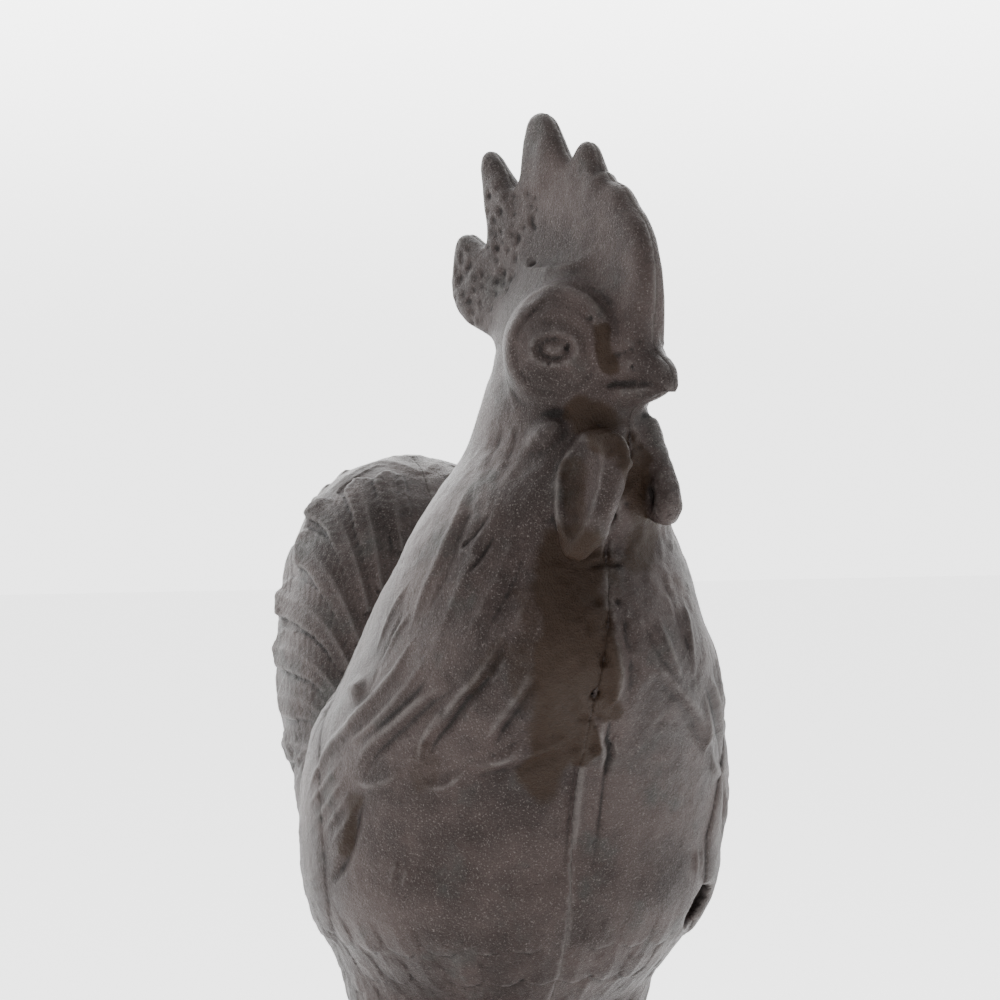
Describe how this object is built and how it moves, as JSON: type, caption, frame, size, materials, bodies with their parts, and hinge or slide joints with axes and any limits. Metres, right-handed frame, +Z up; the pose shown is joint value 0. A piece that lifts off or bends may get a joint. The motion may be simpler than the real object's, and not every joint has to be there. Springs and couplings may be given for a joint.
{
  "type": "cast iron cockerel figure",
  "caption": "Standing cockerel figure cast as two hollow halves, with a turned head, tall comb and full tail, bolted legs and an oval foot plate.",
  "frame": {"origin": "centre of the foot plate's underside, below the body", "axes": "+Z up, the cockerel's breast faces -Y, its right side is -X; its head is turned towards +X"},
  "size_m": [0.1358, 0.2527, 0.4019],
  "materials": {
    "cast_body": "waxed brown-grey patina with dark rust, sand-cast grain",
    "cast_leg": "waxed brown-grey patina, sand-cast grain",
    "cast_plate": "waxed brown-grey patina, sand-cast grain",
    "screw_steel": "browned steel, dull"
  },
  "bodies": {
    "root": {"right_half_casting": "cast_body", "left_half_casting": "cast_body", "neck_screw": "screw_steel", "breast_screw": "screw_steel", "tail_screw": "screw_steel", "right_leg": "cast_leg", "left_leg": "cast_leg", "right_leg_washer": "screw_steel", "left_leg_washer": "screw_steel", "right_leg_nut": "screw_steel", "left_leg_nut": "screw_steel", "right_foot_screw": "screw_steel", "left_foot_screw": "screw_steel", "base_plate": "cast_plate"}
  },
  "joints": []
}
